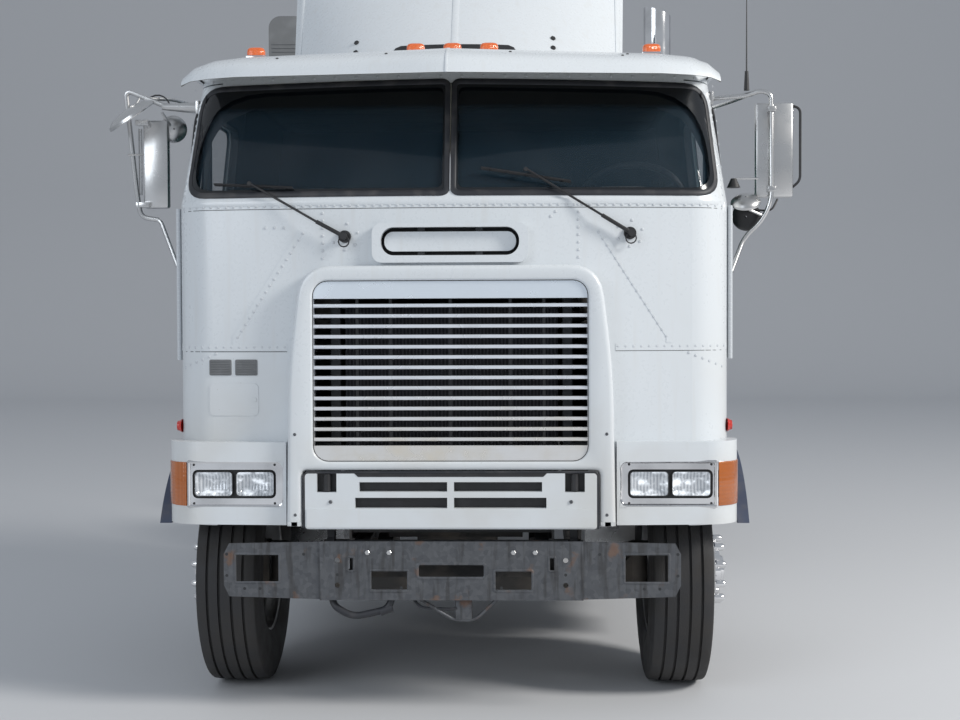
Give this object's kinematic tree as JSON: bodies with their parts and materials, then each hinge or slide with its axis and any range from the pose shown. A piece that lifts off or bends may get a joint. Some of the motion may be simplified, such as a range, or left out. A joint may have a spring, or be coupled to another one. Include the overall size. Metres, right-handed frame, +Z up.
{
  "type": "semi truck tractor unit",
  "caption": "Cab-over-engine highway tractor with sleeper cab, tandem drive axles and fifth wheel; cab tilts, doors open, front wheels steer and all wheels roll.",
  "frame": {"origin": "on the ground under the middle of the bounding box", "axes": "+Z up, +X towards the truck's left (driver's) side, front faces -Y"},
  "size_m": [3.072, 6.808, 3.5142],
  "materials": {
    "white_paint": "gloss",
    "black_paint": "satin",
    "galvanised": "weathered",
    "bright_grille": "polished",
    "chrome": "polished",
    "aluminium": "brushed",
    "cast_iron": "rough",
    "rubber": "matte",
    "tyre": "matte",
    "glass": "tinted",
    "amber": "gloss",
    "headlamp": "polished",
    "interior": "matte",
    "seat_cloth": "woven"
  },
  "bodies": {
    "chassis": {"frame": "black_paint", "bumper_channel": "galvanised", "engine": "cast_iron", "radiator": "black_paint", "front_axle": "cast_iron", "rear_bogie": "cast_iron", "fuel_tanks": "aluminium", "side_boxes": "aluminium", "deck_plate": "aluminium", "exhaust_stack": "chrome", "air_intake": "black_paint", "fifth_wheel_base": "black_paint", "mudflaps": "rubber"},
    "cab": {"cab_front": "white_paint", "cab_side_left": "white_paint", "cab_side_right": "white_paint", "cab_back": "white_paint", "cab_roof": "white_paint", "cab_floor": "interior", "engine_tunnel": "interior", "windshield": "glass", "grille_frame": "white_paint", "grille": "bright_grille", "valance": "white_paint", "corner_panels": "white_paint", "headlamps": "headlamp", "turn_lamps": "amber", "visor": "white_paint", "roof_deflector": "white_paint", "marker_lamps": "amber", "wipers": "black_paint", "arch_flares": "rubber", "dash": "interior", "seats": "seat_cloth", "bunk": "seat_cloth"},
    "steering_wheel": {"steering_wheel": "interior"},
    "fifth_wheel": {"fifth_wheel": "cast_iron"},
    "door_left": {"door_left": "white_paint", "door_glass_left": "glass", "mirrors_left": "chrome"},
    "door_right": {"door_right": "white_paint", "door_glass_right": "glass", "mirrors_right": "chrome"},
    "knuckle_left": {"knuckle_left": "cast_iron"},
    "knuckle_right": {"knuckle_right": "cast_iron"},
    "tie_rod": {"tie_rod": "cast_iron"},
    "front_wheel_left": {"front_wheel_left": "aluminium", "front_tyre_left": "tyre"},
    "front_wheel_right": {"front_wheel_right": "aluminium", "front_tyre_right": "tyre"},
    "drive_1_left": {"drive_wheels_1_left": "aluminium", "drive_tyres_1_left": "tyre"},
    "drive_1_right": {"drive_wheels_1_right": "aluminium", "drive_tyres_1_right": "tyre"},
    "drive_2_left": {"drive_wheels_2_left": "aluminium", "drive_tyres_2_left": "tyre"},
    "drive_2_right": {"drive_wheels_2_right": "aluminium", "drive_tyres_2_right": "tyre"}
  },
  "joints": [
    {"name": "cab_tilt", "type": "hinge", "parent": "chassis", "child": "cab", "pos_m": [0, -3.08, 0.72], "axis": [1, 0, 0], "range_deg": [0, 60]},
    {"name": "door_left_swing", "type": "hinge", "parent": "cab", "child": "door_left", "pos_m": [1.2, -2.91, 1.95], "axis": [0, 0, -1], "range_deg": [0, 70]},
    {"name": "door_right_swing", "type": "hinge", "parent": "cab", "child": "door_right", "pos_m": [-1.2, -2.91, 1.95], "axis": [0, 0, 1], "range_deg": [0, 70]},
    {"name": "steer_left", "type": "hinge", "parent": "chassis", "child": "knuckle_left", "pos_m": [0.835, -2.48, 0.508], "axis": [0, 0, 1], "range_deg": [-36, 36]},
    {"name": "steer_right", "type": "hinge", "parent": "chassis", "child": "knuckle_right", "pos_m": [-0.835, -2.48, 0.508], "axis": [0, 0, 1], "range_deg": [-36, 36]},
    {"name": "tie_rod_swing", "type": "hinge", "parent": "knuckle_left", "child": "tie_rod", "pos_m": [0.835, -2.26, 0.35], "axis": [0, 0, 1], "range_deg": [-36, 36]},
    {"name": "steering_wheel_turn", "type": "hinge", "parent": "cab", "child": "steering_wheel", "pos_m": [0.8, -2.578, 2.205], "axis": [0, 0.64, 0.7684], "range_deg": [-720, 720]},
    {"name": "fifth_wheel_rock", "type": "hinge", "parent": "chassis", "child": "fifth_wheel", "pos_m": [0, 1.97, 1.11], "axis": [1, 0, 0], "range_deg": [-12, 12]},
    {"name": "front_left_spin", "type": "hinge", "parent": "knuckle_left", "child": "front_wheel_left", "pos_m": [0.995, -2.48, 0.508], "axis": [1, 0, 0], "continuous": true},
    {"name": "front_right_spin", "type": "hinge", "parent": "knuckle_right", "child": "front_wheel_right", "pos_m": [-0.995, -2.48, 0.508], "axis": [1, 0, 0], "continuous": true},
    {"name": "drive_1_left_spin", "type": "hinge", "parent": "chassis", "child": "drive_1_left", "pos_m": [0.9125, 1.31, 0.508], "axis": [1, 0, 0], "continuous": true},
    {"name": "drive_1_right_spin", "type": "hinge", "parent": "chassis", "child": "drive_1_right", "pos_m": [-0.9125, 1.31, 0.508], "axis": [1, 0, 0], "continuous": true},
    {"name": "drive_2_left_spin", "type": "hinge", "parent": "chassis", "child": "drive_2_left", "pos_m": [0.9125, 2.63, 0.508], "axis": [1, 0, 0], "continuous": true},
    {"name": "drive_2_right_spin", "type": "hinge", "parent": "chassis", "child": "drive_2_right", "pos_m": [-0.9125, 2.63, 0.508], "axis": [1, 0, 0], "continuous": true}
  ],
  "couplings": [
    {"joint": "steer_right", "follows": "steer_left", "ratio": 1},
    {"joint": "tie_rod_swing", "follows": "steer_left", "ratio": -1},
    {"joint": "steering_wheel_turn", "follows": "steer_left", "ratio": 20}
  ]
}
